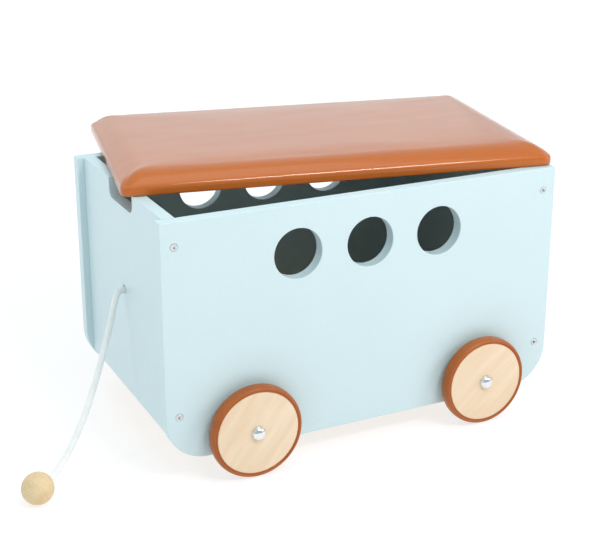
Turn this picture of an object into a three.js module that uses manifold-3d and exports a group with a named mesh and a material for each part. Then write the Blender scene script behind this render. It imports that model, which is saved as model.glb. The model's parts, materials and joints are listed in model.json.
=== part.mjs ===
// A wooden toy box on four wheels, with a padded lid and a pull cord.
// Millimetres, +Z up. The box stands on z = 0. X runs along the box, -Y is the front, and the pull cord hangs at the -X end.
import * as THREE from 'three';
import { mergeVertices } from 'three/addons/utils/BufferGeometryUtils.js';
import Module from 'manifold-3d';

const wasm = await Module();
wasm.setup();

// ---- box carcass
const BOX_LENGTH = 600;      // long panels, end to end
const BOX_WIDTH = 360;       // outside to outside over the long panels
const PANEL_THICK = 18;      // every painted board
const PANEL_HEIGHT = 333;    // long panels
const PANEL_BOTTOM = 34;     // underside of the long panels above the ground
const LOWER_CORNER_R = 60;   // rounded lower corners of the long panels
const END_INSET = 10;        // long panels run past the end panels by this much
const END_BOTTOM = 63;       // the end panels stop higher than the long panels
const RIM = PANEL_BOTTOM + PANEL_HEIGHT;

// ---- floor board, let into grooves
const FLOOR_THICK = 9;
const FLOOR_BOTTOM = 76;
const GROOVE_DEPTH = 7;
const GROOVE_GAP = 0.25;     // clearance each side of the board in its groove

// ---- portholes
const PORTHOLE_R = 35;
const PORTHOLE_X = [-108, 0, 108];
const PORTHOLE_Z = 299;

// ---- finger notch in the top edge of each end panel
const NOTCH_WIDTH = 96;
const NOTCH_DEPTH = 27;
const NOTCH_R = 12;

// ---- panel screws
const SCREW_X = BOX_LENGTH / 2 - END_INSET - PANEL_THICK / 2;
const SCREW_Z = [99, 334];
const SCREW_HEAD_R = 5;
const SCREW_LENGTH = 50;
const SCREW_FACETS = 12;

// ---- wheels
const WHEEL_X = 180;
const WHEEL_FACETS = 36;
const TYRE_R = 66;
const TYRE_WIDTH = 19;
const DISC_R = 58.5;
const DISC_THICK = 18;
const WHEEL_STANDOFF = 8.4;  // from the panel to the back of the wheel disc
const WHEEL_Z = TYRE_R * Math.cos(Math.PI / WHEEL_FACETS);
const AXLE_R = 4;
const AXLE_FACETS = 16;
const BORE_R = 4.1;
const CAP_R = 10;
const CAP_HEIGHT = 8;

// ---- lid
const LID_LENGTH = 618;
const LID_WIDTH = 376;
const LID_CORNER_R = 14;
const LID_EDGE = 13.8;       // height of the lid at its edge
const LID_CROWN = 31;        // height that the padding climbs to
const LID_SLOPE = 24;        // width of the padding's sloping border
const LID_HIP = 34;          // reach of the rounded hips at the corners
const LID_YAW = -11.2;       // the lid lies loose and askew on the rim
const LID_AT = [34, 70];
const LID_GAP = 0.3;         // above the rim
const COVER_THICK = 1.2;
const BOARD_THICK = 10;
const HEM_WIDTH = 28;

// ---- pull cord
const CORD_R = 4.5;
const CORD_HOLE_R = 6;
const CORD_HOLE_Z = 218;
const BALL_R = 21.4;
const BALL_AT = [-464, -142, 21.5];

// ---- from the middle of the box to the middle of the whole footprint, lid included
const FOOTPRINT_X = 34;
const FOOTPRINT_Y = 48.25;

const COLOURS = {
  paint: [0xb9dde2, 0.45, 0],
  board: [0xd9bf94, 0.7, 0],
  wood: [0xead2b0, 0.55, 0],
  ball: [0xe2c08c, 0.5, 0],
  rubber: [0xa8603a, 0.5, 0],
  chrome: [0xd8d8d8, 0.12, 1],
  steel: [0xb8babd, 0.3, 1],
  nylon: [0xe9e6df, 0.5, 0],
  leather: [0xb8642f, 0.4, 0],
  foam: [0xe9dfc0, 0.95, 0],
  lining: [0x2b2b2d, 0.9, 0],
  cord: [0xf4f3ef, 0.85, 0],
};

const assembly = new THREE.Group();

// ---- helpers ---------------------------------------------------------------

// Welds a geometry's corners, drops collapsed triangles and turns its faces outwards.
function weld(geometry) {
  let g = geometry.clone();
  for (const name of Object.keys(g.attributes)) if (name !== 'position') g.deleteAttribute(name);
  g = mergeVertices(g, 1e-4);
  const source = g.index.array;
  const kept = [];
  for (let i = 0; i < source.length; i += 3) {
    const [a, b, c] = [source[i], source[i + 1], source[i + 2]];
    if (a !== b && b !== c && a !== c) kept.push(a, b, c);
  }
  const p = g.attributes.position;
  let volume = 0;
  const [A, B, C] = [new THREE.Vector3(), new THREE.Vector3(), new THREE.Vector3()];
  for (let i = 0; i < kept.length; i += 3) {
    A.fromBufferAttribute(p, kept[i]);
    B.fromBufferAttribute(p, kept[i + 1]);
    C.fromBufferAttribute(p, kept[i + 2]);
    volume += A.dot(B.clone().cross(C));
  }
  if (volume < 0) for (let i = 0; i < kept.length; i += 3) [kept[i + 1], kept[i + 2]] = [kept[i + 2], kept[i + 1]];
  g.setIndex(kept);
  return g;
}

function toSolid(geometry) {
  const g = weld(geometry);
  return new wasm.Manifold(new wasm.Mesh({
    numProp: 3,
    vertProperties: Float32Array.from(g.attributes.position.array),
    triVerts: Uint32Array.from(g.index.array),
  }));
}

function toGeometry(solid) {
  const mesh = solid.getMesh();
  const g = new THREE.BufferGeometry();
  g.setAttribute('position', new THREE.BufferAttribute(Float32Array.from(mesh.vertProperties), 3));
  g.setIndex(Array.from(mesh.triVerts));
  return g;
}

function cut(geometry, ...tools) {
  let solid = toSolid(geometry);
  for (const tool of tools) solid = solid.subtract(toSolid(tool));
  return toGeometry(solid);
}

function add(name, geometry, colour, parent = assembly) {
  const [hex, roughness, metalness] = COLOURS[colour];
  const g = weld(geometry);
  g.computeVertexNormals();
  const mesh = new THREE.Mesh(g, new THREE.MeshStandardMaterial({ color: hex, roughness, metalness }));
  mesh.name = name;
  parent.add(mesh);
  return mesh;
}

const block = (x0, x1, y0, y1, z0, z1) =>
  new THREE.BoxGeometry(x1 - x0, y1 - y0, z1 - z0).translate((x0 + x1) / 2, (y0 + y1) / 2, (z0 + z1) / 2);

// A body turned about the Y axis from [radius, y] points, with a flat facet underneath.
function turned(points, facets) {
  return new THREE.LatheGeometry(points.map(([r, y]) => new THREE.Vector2(r, y)), facets, Math.PI / facets);
}

function rod(radius, y0, y1, facets) {
  return turned([[0, y0], [radius, y0], [radius, y1], [0, y1]], facets);
}

// A board drawn in the X-Z plane and made `thick` deep in +Y from `y`.
function boardXZ(shape, y, thick, curveSegments) {
  const g = new THREE.ExtrudeGeometry(shape, { depth: thick, bevelEnabled: false, curveSegments });
  return g.rotateX(Math.PI / 2).translate(0, y + thick, 0);
}

// A board drawn in the Y-Z plane and made `thick` deep in +X from `x`.
function boardYZ(shape, x, thick, curveSegments) {
  const g = new THREE.ExtrudeGeometry(shape, { depth: thick, bevelEnabled: false, curveSegments });
  return g.rotateX(Math.PI / 2).rotateZ(Math.PI / 2).translate(x, 0, 0);
}

// ---- long panels -----------------------------------------------------------

const screwProfile = (grow) => [
  [0, -grow], [SCREW_HEAD_R + grow, -grow], [SCREW_HEAD_R + grow, 1.6 + grow], [3.5 + grow, 3.4 + grow],
  [3.5 + grow, 15], [2.6 + grow, 16], [2.6 + grow, SCREW_LENGTH - 4], [0.6 + grow, SCREW_LENGTH + grow], [0, SCREW_LENGTH + grow],
];

// side is -1 for the front (-Y) and 1 for the rear.
function facing(geometry, side) {
  if (side > 0) geometry.rotateZ(Math.PI);
  return geometry.translate(0, side * BOX_WIDTH / 2, 0);
}

const screwAt = [];
for (const side of [-1, 1]) for (const end of [-1, 1]) for (const z of SCREW_Z) screwAt.push([side, end, z]);

const screwHole = (side, end, z) => facing(turned(screwProfile(0.1), SCREW_FACETS), side).translate(end * SCREW_X, 0, z);

function longPanel(side) {
  const [half, r] = [BOX_LENGTH / 2, LOWER_CORNER_R];
  const outline = new THREE.Shape();
  outline.moveTo(-half, RIM);
  outline.lineTo(-half, PANEL_BOTTOM + r);
  outline.absarc(-half + r, PANEL_BOTTOM + r, r, Math.PI, 1.5 * Math.PI, false);
  outline.absarc(half - r, PANEL_BOTTOM + r, r, 1.5 * Math.PI, 2 * Math.PI, false);
  outline.lineTo(half, RIM);
  outline.closePath();
  for (const x of PORTHOLE_X) {
    const hole = new THREE.Path();
    hole.absarc(x, PORTHOLE_Z, PORTHOLE_R, 0, 2 * Math.PI, true);
    outline.holes.push(hole);
  }
  const y = side < 0 ? -BOX_WIDTH / 2 : BOX_WIDTH / 2 - PANEL_THICK;
  const inner = side * (BOX_WIDTH / 2 - PANEL_THICK);
  const bottom = inner + side * GROOVE_DEPTH;
  const grooveEnd = BOX_LENGTH / 2 - END_INSET - PANEL_THICK + GROOVE_DEPTH;
  const tools = [
    block(-grooveEnd, grooveEnd, Math.min(inner - side, bottom), Math.max(inner - side, bottom),
      FLOOR_BOTTOM - GROOVE_GAP, FLOOR_BOTTOM + FLOOR_THICK + GROOVE_GAP),
  ];
  for (const x of [-WHEEL_X, WHEEL_X]) tools.push(rod(BORE_R, y - 1, y + PANEL_THICK + 1, AXLE_FACETS).translate(x, 0, WHEEL_Z));
  for (const [s, end, z] of screwAt) if (s === side) tools.push(screwHole(s, end, z));
  return cut(boardXZ(outline, y, PANEL_THICK, 14), ...tools);
}
add('long_panel_front', longPanel(-1), 'paint');
add('long_panel_rear', longPanel(1), 'paint');

// ---- end panels ------------------------------------------------------------

function endPanel(end) {
  const [half, n, r] = [BOX_WIDTH / 2 - PANEL_THICK, NOTCH_WIDTH / 2, NOTCH_R];
  const bottom = RIM - NOTCH_DEPTH;
  const outline = new THREE.Shape();
  outline.moveTo(-half, END_BOTTOM);
  outline.lineTo(half, END_BOTTOM);
  outline.lineTo(half, RIM);
  outline.lineTo(n, RIM);
  outline.lineTo(n, bottom + r);
  outline.absarc(n - r, bottom + r, r, 0, -Math.PI / 2, true);
  outline.absarc(-n + r, bottom + r, r, -Math.PI / 2, -Math.PI, true);
  outline.lineTo(-n, RIM);
  outline.lineTo(-half, RIM);
  outline.closePath();
  const outer = BOX_LENGTH / 2 - END_INSET;
  const x = end < 0 ? -outer : outer - PANEL_THICK;
  const inner = end * (outer - PANEL_THICK);
  const depth = inner + end * GROOVE_DEPTH;
  const tools = [
    block(Math.min(inner - end, depth), Math.max(inner - end, depth), -half - 1, half + 1,
      FLOOR_BOTTOM - GROOVE_GAP, FLOOR_BOTTOM + FLOOR_THICK + GROOVE_GAP),
  ];
  for (const [side, e, z] of screwAt) if (e === end) tools.push(screwHole(side, e, z));
  if (end < 0) tools.push(new THREE.CylinderGeometry(CORD_HOLE_R, CORD_HOLE_R, PANEL_THICK + 2, 20)
    .rotateZ(Math.PI / 2).translate(-outer + PANEL_THICK / 2, 0, CORD_HOLE_Z));
  return cut(boardYZ(outline, x, PANEL_THICK, 8), ...tools);
}
add('end_panel_left', endPanel(-1), 'paint');
add('end_panel_right', endPanel(1), 'paint');

// ---- floor board in its grooves --------------------------------------------

const floorX = BOX_LENGTH / 2 - END_INSET - PANEL_THICK + GROOVE_DEPTH - 0.5;
const floorY = BOX_WIDTH / 2 - PANEL_THICK + GROOVE_DEPTH - 0.5;
add('floor_board', block(-floorX, floorX, -floorY, floorY, FLOOR_BOTTOM, FLOOR_BOTTOM + FLOOR_THICK), 'board');

// ---- socket-head screws through the long panels into the end panels ---------

const SIDE = { '-1': 'front', 1: 'rear' };
const END = { '-1': 'left', 1: 'right' };
for (const [side, end, z] of screwAt) {
  const socket = new THREE.CylinderGeometry(2.3, 2.3, 3.2, 6).translate(0, 1.5, 0);
  const screw = cut(turned(screwProfile(0), SCREW_FACETS), socket);
  add(`panel_screw_${SIDE[side]}_${END[end]}_${z === SCREW_Z[0] ? 'lower' : 'upper'}`,
    facing(screw, side).translate(end * SCREW_X, 0, z), 'steel');
}

// ---- axles, wheels, tyres, spacers and caps ---------------------------------

const wheelBack = BOX_WIDTH / 2 + WHEEL_STANDOFF;
const wheelFace = wheelBack + DISC_THICK;
const axleEnd = wheelFace + 6;

const discProfile = [
  [BORE_R, 0], [DISC_R - 1, 0], [DISC_R, 1], [DISC_R, DISC_THICK - 1], [DISC_R - 1, DISC_THICK], [BORE_R, DISC_THICK], [BORE_R, 0],
];
const tyreInner = DISC_R + 0.05;
const [ty0, ty1] = [-(TYRE_WIDTH - DISC_THICK) / 2, DISC_THICK + (TYRE_WIDTH - DISC_THICK) / 2];
const tyreProfile = [
  [tyreInner, ty0], [TYRE_R - 4, ty0], [TYRE_R - 1.3, ty0 + 1.6], [TYRE_R, ty0 + 5.2], [TYRE_R, ty1 - 5.2],
  [TYRE_R - 1.3, ty1 - 1.6], [TYRE_R - 4, ty1], [tyreInner, ty1], [tyreInner, ty0],
];
const spacerProfile = [[BORE_R, 0.2], [9, 0.2], [9, WHEEL_STANDOFF - 0.7], [BORE_R, WHEEL_STANDOFF - 0.7], [BORE_R, 0.2]];
const capProfile = [
  [0, 6.2], [BORE_R, 6.2], [BORE_R, 0.4], [CAP_R, 0.4], [CAP_R, 1.8], [9.2, 4.2], [7.2, 6.2], [4.2, 7.5], [0, CAP_HEIGHT],
];

for (const end of [-1, 1]) {
  add(`axle_${END[end]}`, rod(AXLE_R, -axleEnd, axleEnd, AXLE_FACETS).translate(end * WHEEL_X, 0, WHEEL_Z), 'steel');
  for (const side of [-1, 1]) {
    const place = (points, facets, from) => {
      const g = turned(points, facets).translate(0, from, 0);
      if (side < 0) g.rotateZ(Math.PI);
      return g.translate(end * WHEEL_X, 0, WHEEL_Z);
    };
    const where = `${SIDE[side]}_${END[end]}`;
    add(`wheel_disc_${where}`, place(discProfile, WHEEL_FACETS, wheelBack), 'wood');
    add(`tyre_${where}`, place(tyreProfile, WHEEL_FACETS, wheelBack), 'rubber');
    add(`wheel_spacer_${where}`, place(spacerProfile, AXLE_FACETS, BOX_WIDTH / 2), 'nylon');
    add(`hub_cap_${where}`, place(capProfile, AXLE_FACETS, wheelFace), 'chrome');
  }
}

// ---- lid: board, foam, cover and lining -------------------------------------

// Grid lines that crowd towards both edges.
function lines(size, radius) {
  const near = [0, 0.4, 1].map((k) => k * radius).concat([20, 26, 34, 60]);
  const half = size / 2;
  const left = near.filter((d) => d < half - 10).map((d) => -half + d);
  return [...left, 0, ...left.map((v) => -v).reverse()];
}

// A flat-bottomed cushion with rounded corners in plan and a crowned top, bent out of a box.
function cushion(length, width, radius, bottom, top) {
  const [us, vs] = [lines(length, radius), lines(width, radius)];
  const g = new THREE.BoxGeometry(1, 1, 1, us.length - 1, vs.length - 1, 1);
  const p = g.attributes.position;
  for (let i = 0; i < p.count; i++) {
    let x = us[Math.round((p.getX(i) + 0.5) * (us.length - 1))];
    let y = vs[Math.round((p.getY(i) + 0.5) * (vs.length - 1))];
    const du = length / 2 - Math.abs(x);
    const dv = width / 2 - Math.abs(y);
    if (du < radius && dv < radius) {
      const [a, b] = [1 - du / radius, 1 - dv / radius];
      x = Math.sign(x) * (length / 2 - radius + radius * a * Math.sqrt(1 - b * b / 2));
      y = Math.sign(y) * (width / 2 - radius + radius * b * Math.sqrt(1 - a * a / 2));
    }
    p.setXYZ(i, x, y, p.getZ(i) < 0 ? bottom : top(du, dv));
  }
  return g;
}

// An even slope up from the edge that turns quickly into the flat top, with rounded hips at the corners.
const crown = (edge, peak) => (du, dv) => {
  const [q, s] = [Math.max(LID_HIP - du, 0), Math.max(LID_HIP - dv, 0)];
  const d = Math.max(LID_HIP - Math.pow(Math.pow(q, 3.2) + Math.pow(s, 3.2), 1 / 3.2), 0) / LID_SLOPE;
  const rise = Math.pow(d, 4) / (1 + Math.pow(d, 4));
  return edge + (peak - edge) * Math.pow(rise, 0.25);
};

function roundedBoard(length, width, radius, z0, z1) {
  const [a, b] = [length / 2, width / 2];
  const s = new THREE.Shape();
  s.absarc(a - radius, b - radius, radius, 0, Math.PI / 2, false);
  s.absarc(-a + radius, b - radius, radius, Math.PI / 2, Math.PI, false);
  s.absarc(-a + radius, -b + radius, radius, Math.PI, 1.5 * Math.PI, false);
  s.absarc(a - radius, -b + radius, radius, 1.5 * Math.PI, 2 * Math.PI, false);
  s.closePath();
  return new THREE.ExtrudeGeometry(s, { depth: z1 - z0, bevelEnabled: false, curveSegments: 5 }).translate(0, 0, z0);
}

const lid = new THREE.Group();
lid.position.set(LID_AT[0], LID_AT[1], RIM + LID_GAP);
lid.rotation.z = THREE.MathUtils.degToRad(LID_YAW);
assembly.add(lid);

const c = COVER_THICK;
const boardTop = c + 0.1 + BOARD_THICK;
add('lid_board', roundedBoard(LID_LENGTH - 2 * c - 0.6, LID_WIDTH - 2 * c - 0.6, LID_CORNER_R - c - 0.3, c + 0.1, boardTop), 'board', lid);
add('lid_foam_pad', cut(cushion(LID_LENGTH - 2 * c - 0.6, LID_WIDTH - 2 * c - 0.6, LID_CORNER_R - c - 0.3,
  boardTop + 0.1, crown(LID_EDGE - c - 0.2, LID_CROWN - c - 0.2)), block(-1, 1, -1, 1, -20, -18)), 'foam', lid);
add('lid_cover', cut(
  cushion(LID_LENGTH, LID_WIDTH, LID_CORNER_R, 0, crown(LID_EDGE, LID_CROWN)),
  cushion(LID_LENGTH - 2 * c, LID_WIDTH - 2 * c, LID_CORNER_R - c, c, crown(LID_EDGE - c, LID_CROWN - c)),
  roundedBoard(LID_LENGTH - 2 * HEM_WIDTH, LID_WIDTH - 2 * HEM_WIDTH, 6, -1, c + 0.5),
), 'leather', lid);
add('lid_lining', roundedBoard(LID_LENGTH - 2 * HEM_WIDTH - 1, LID_WIDTH - 2 * HEM_WIDTH - 1, 5.5, 0.3, 1.1), 'lining', lid);

// ---- pull cord, its ball and the knot that holds it --------------------------

const endFace = -BOX_LENGTH / 2 + END_INSET;
const cordZ = CORD_HOLE_Z - CORD_HOLE_R + CORD_R + 0.3;
const route = [
  [endFace + PANEL_THICK + 1, 0, cordZ], [endFace + 9, 0, cordZ], [endFace, 0, cordZ], [-298.5, -2.6, cordZ - 0.6],
  [-305, -9, 211.6], [-309.5, -14.2, 204.5], [-313.6, -18.6, 196.0], [-317.8, -22.8, 185.0], [-324.4, -28.4, 171.0],
  [-331.2, -34.2, 156.0], [-342.5, -43.2, 133.0], [-358.8, -56.6, 103.0], [-376.6, -71.2, 75.0], [-399.6, -90.0, 48.4],
  [-416, -103.2, 34.4], [-428, -112.9, 26.4], [-438, -121.0, 22.2], [-446, -127.5, 21.2], [-451.5, -131.9, 21.3],
].map((q) => new THREE.Vector3(...q));
const circle = new THREE.Shape(Array.from({ length: 10 }, (_, i) =>
  new THREE.Vector2(CORD_R * Math.cos(i * Math.PI / 5), CORD_R * Math.sin(i * Math.PI / 5))));
add('pull_cord', new THREE.ExtrudeGeometry(circle, {
  steps: 42, bevelEnabled: false, extrudePath: new THREE.CatmullRomCurve3(route, false, 'centripetal'),
}), 'cord');

const into = new THREE.Vector3(BALL_AT[0] - route.at(-1).x, BALL_AT[1] - route.at(-1).y, 0).normalize();
const ballBore = new THREE.CylinderGeometry(CORD_R + 0.5, CORD_R + 0.5, 30, 14).translate(0, -15 - 2, 0)
  .applyQuaternion(new THREE.Quaternion().setFromUnitVectors(new THREE.Vector3(0, 1, 0), into));
add('pull_ball', cut(new THREE.SphereGeometry(BALL_R, 20, 14), ballBore).translate(...BALL_AT), 'ball');

// The overhand knot inside the box: a lumpy ball of cord.
const knot = new THREE.SphereGeometry(1, 14, 10);
const kp = knot.attributes.position;
for (let i = 0; i < kp.count; i++) {
  const [x, y, z] = [kp.getX(i), kp.getY(i), kp.getZ(i)];
  const lump = 1 + 0.1 * Math.cos(2 * Math.atan2(z, y) + 5 * x) * (1 - x * x);
  kp.setXYZ(i, 8 * x, 10 * y * lump, 9.5 * z * lump);
}
add('cord_knot', knot.translate(endFace + PANEL_THICK + 1.4 + 8, 0, cordZ), 'cord');

assembly.position.set(-FOOTPRINT_X, -FOOTPRINT_Y, 0);

export default assembly;
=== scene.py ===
import json
import math

import bmesh
import bpy
import numpy as np
from mathutils import Matrix, Vector, noise
from mathutils.geometry import tessellate_polygon


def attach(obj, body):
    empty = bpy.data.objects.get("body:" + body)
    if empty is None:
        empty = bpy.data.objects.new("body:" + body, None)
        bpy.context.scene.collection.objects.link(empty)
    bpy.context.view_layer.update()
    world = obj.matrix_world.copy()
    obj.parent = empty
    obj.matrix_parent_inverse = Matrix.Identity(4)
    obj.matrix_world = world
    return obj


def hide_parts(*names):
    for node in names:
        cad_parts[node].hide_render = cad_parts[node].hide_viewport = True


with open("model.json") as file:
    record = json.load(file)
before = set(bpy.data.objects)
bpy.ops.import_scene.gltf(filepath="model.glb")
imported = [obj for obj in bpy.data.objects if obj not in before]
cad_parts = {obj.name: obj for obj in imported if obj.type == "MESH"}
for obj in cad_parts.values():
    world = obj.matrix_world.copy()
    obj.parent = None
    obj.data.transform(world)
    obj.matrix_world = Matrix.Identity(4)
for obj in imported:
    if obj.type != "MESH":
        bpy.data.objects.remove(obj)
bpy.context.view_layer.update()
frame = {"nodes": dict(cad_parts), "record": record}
scene = bpy.context.scene
scene.view_settings.view_transform = "Standard"

# Everything below is drawn in millimetres about the middle of the box itself, with the ground at 0.
# The row's own frame has its origin this much further along X and Y, where the lid counts too.
OX, OY = 34.0, 48.25


def row(points):
    p = np.array(points, float).reshape(-1, 3)
    p[:, 0] -= OX
    p[:, 1] -= OY
    return p * 0.001


# ---- camera ------------------------------------------------------------------

az, el = math.radians(-26.113), math.radians(18.684)
back = Vector((math.sin(az) * math.cos(el), -math.cos(az) * math.cos(el), math.sin(el)))
cam = bpy.data.objects.new("camera", bpy.data.cameras.new("camera"))
scene.collection.objects.link(cam)
cam.location = row([(-808.83, -1613.80, 867.34)])[0]
cam.rotation_mode = "QUATERNION"
cam.rotation_quaternion = (-back).to_track_quat("-Z", "Y")
cam.data.sensor_width = 36
cam.data.lens = 77.54
cam.data.shift_y = -0.06
cam.data.clip_start, cam.data.clip_end = 0.05, 200
scene.camera = cam


# ---- material helpers ----------------------------------------------------------


def lin(r, g, b):
    out = []
    for c in (r, g, b):
        c /= 255
        out.append(c / 12.92 if c <= 0.04045 else ((c + 0.055) / 1.055) ** 2.4)
    return (*out, 1.0)


class Shader:
    """A small builder for node materials. Coordinates are the piece's own, in metres."""

    def __init__(self, name, **sockets):
        self.m = bpy.data.materials.new(name)
        self.m.use_nodes = True
        self.t = self.m.node_tree
        self.bsdf = self.t.nodes["Principled BSDF"]
        for key, value in sockets.items():
            self.bsdf.inputs[key.replace("_", " ")].default_value = value
        self.coord = self.t.nodes.new("ShaderNodeTexCoord").outputs["Object"]

    def node(self, kind, ins=None, **props):
        n = self.t.nodes.new(kind)
        for key, value in props.items():
            setattr(n, key, value)
        for key, value in (ins or {}).items():
            if hasattr(value, "is_output"):
                self.t.links.new(value, n.inputs[key])
            else:
                n.inputs[key].default_value = value
        return n

    def mapped(self, scale=(1, 1, 1), rot=(0, 0, 0), loc=(0, 0, 0), vector=None):
        n = self.node("ShaderNodeMapping", {"Vector": vector or self.coord, "Scale": scale, "Location": loc})
        n.inputs["Rotation"].default_value = [math.radians(a) for a in rot]
        return n.outputs[0]

    def noise(self, scale, detail=3.0, rough=0.55, distort=0.0, vector=None):
        ins = {"Vector": vector or self.coord, "Scale": scale, "Detail": detail, "Roughness": rough, "Distortion": distort}
        return self.node("ShaderNodeTexNoise", ins).outputs[0]

    def voronoi(self, scale, feature="F1", vector=None, rand=1.0):
        ins = {"Vector": vector or self.coord, "Scale": scale, "Randomness": rand}
        return self.node("ShaderNodeTexVoronoi", ins, feature=feature).outputs["Distance"]

    def ramp(self, fac, stops, interp="LINEAR"):
        n = self.node("ShaderNodeValToRGB", {0: fac})
        n.color_ramp.interpolation = interp
        e = n.color_ramp.elements
        while len(e) < len(stops):
            e.new(0.5)
        for k, (at, colour) in enumerate(stops):
            e[k].position = at
            e[k].color = colour if len(colour) == 4 else (*colour, 1)
        return n.outputs[0]

    def grey(self, fac, stops):
        return self.ramp(fac, [(at, (v, v, v, 1)) for at, v in stops])

    def math(self, op, a, b=0.0, c=None):
        ins = {0: a, 1: b}
        if c is not None:
            ins[2] = c
        return self.node("ShaderNodeMath", ins, operation=op).outputs[0]

    def mix(self, fac, a, b, blend="MIX"):
        n = self.node("ShaderNodeMix", data_type="RGBA", blend_type=blend)
        for key, value in ((0, fac), (6, a), (7, b)):
            if hasattr(value, "is_output"):
                self.t.links.new(value, n.inputs[key])
            else:
                n.inputs[key].default_value = value
        return n.outputs[2]

    def bump(self, height, strength, distance, after=None):
        n = self.node("ShaderNodeBump", {"Height": height, "Strength": strength, "Distance": distance})
        if after is not None:
            self.t.links.new(after, n.inputs["Normal"])
        return n.outputs[0]

    def out(self, **links):
        for key, value in links.items():
            self.t.links.new(value, self.bsdf.inputs[key.replace("_", " ")])
        return self.m


# ---- materials -----------------------------------------------------------------


def painted_board():
    s = Shader("painted_board", Specular_IOR_Level=0.5, Coat_Weight=0.10, Coat_Roughness=0.22)
    cloud = s.noise(5.5, 4, 0.6)
    fine = s.noise(140, 3, 0.6)
    colour = s.ramp(cloud, [(0.3, lin(197, 217, 221)), (0.7, lin(201, 220, 224))])
    colour = s.mix(s.grey(fine, [(0.35, 0.0), (0.75, 0.16)]), colour, lin(209, 227, 229))
    specks = s.grey(s.noise(900, 2, 0.5), [(0.66, 0.0), (0.74, 0.25)])
    colour = s.mix(specks, colour, lin(182, 209, 215))
    rough = s.grey(s.noise(60, 4, 0.65), [(0.25, 0.36), (0.8, 0.48)])
    peel = s.noise(520, 3, 0.5)
    roller = s.noise(1.0, 2, 0.5, vector=s.mapped(scale=(45, 45, 700)))
    normal = s.bump(peel, 0.10, 0.0006)
    normal = s.bump(roller, 0.05, 0.0006, normal)
    return s.out(Base_Color=colour, Roughness=rough, Normal=normal)


def plywood():
    s = Shader("bare_board", Specular_IOR_Level=0.35)
    stretched = s.mapped(scale=(9, 150, 150))
    streaks = s.noise(1.0, 5, 0.6, 0.4, stretched)
    rings = s.node("ShaderNodeTexWave", {"Vector": s.mapped(scale=(1, 1, 1), rot=(0, 0, 3)), "Scale": 9.0, "Distortion": 9.0,
                                         "Detail": 2.0, "Detail Scale": 0.7}, bands_direction="Y").outputs[0]
    colour = s.ramp(streaks, [(0.25, lin(205, 172, 125)), (0.55, lin(221, 191, 147)), (0.8, lin(232, 206, 166))])
    colour = s.mix(s.grey(rings, [(0.0, 0.30), (0.5, 0.0)]), colour, lin(196, 156, 106))
    pores = s.noise(1.0, 2, 0.5, vector=s.mapped(scale=(160, 2400, 2400)))
    colour = s.mix(s.grey(pores, [(0.60, 0.0), (0.70, 0.5)]), colour, lin(160, 122, 80))
    normal = s.bump(pores, 0.18, 0.0004)
    return s.out(Base_Color=colour, Roughness=s.grey(streaks, [(0.2, 0.62), (0.8, 0.78)]), Normal=normal)


def birch(name, turn, where, seed):
    """Pale lacquered birch whose grain runs along the face, turned by so many degrees from level."""
    s = Shader(name, Specular_IOR_Level=0.45, Coat_Weight=0.25, Coat_Roughness=0.30)
    local = s.mapped(loc=tuple(-c for c in where))
    along = s.mapped(rot=(0, turn, 0), loc=(seed * 0.37, seed * 0.11, seed * 0.23), vector=local)
    broad = s.noise(1.0, 3, 0.55, 0.6, s.mapped(scale=(5, 30, 42), vector=along))
    fibre = s.noise(1.0, 4, 0.62, 0.25, s.mapped(scale=(26, 420, 420), vector=along))
    bands = s.node("ShaderNodeTexWave", {"Vector": s.mapped(scale=(0.35, 1, 1), vector=along), "Scale": 11.0, "Distortion": 5.5,
                                         "Detail": 2.0, "Detail Scale": 1.2}, bands_direction="Z").outputs[0]
    flecks = s.noise(1.0, 2, 0.5, 0.0, s.mapped(scale=(230, 1500, 1500), vector=along))
    colour = s.ramp(broad, [(0.25, lin(219, 191, 156)), (0.5, lin(228, 202, 171)), (0.78, lin(235, 213, 186))])
    colour = s.mix(s.grey(fibre, [(0.34, 0.0), (0.72, 0.34)]), colour, lin(240, 221, 196))
    colour = s.mix(s.grey(bands, [(0.0, 0.17), (0.45, 0.0)]), colour, lin(220, 184, 140))
    colour = s.mix(s.grey(flecks, [(0.63, 0.0), (0.73, 0.38)]), colour, lin(196, 154, 108))
    normal = s.bump(fibre, 0.10, 0.0003)
    normal = s.bump(flecks, 0.08, 0.0003, normal)
    return s.out(Base_Color=colour, Roughness=s.grey(fibre, [(0.2, 0.40), (0.8, 0.54)]), Normal=normal)


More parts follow.
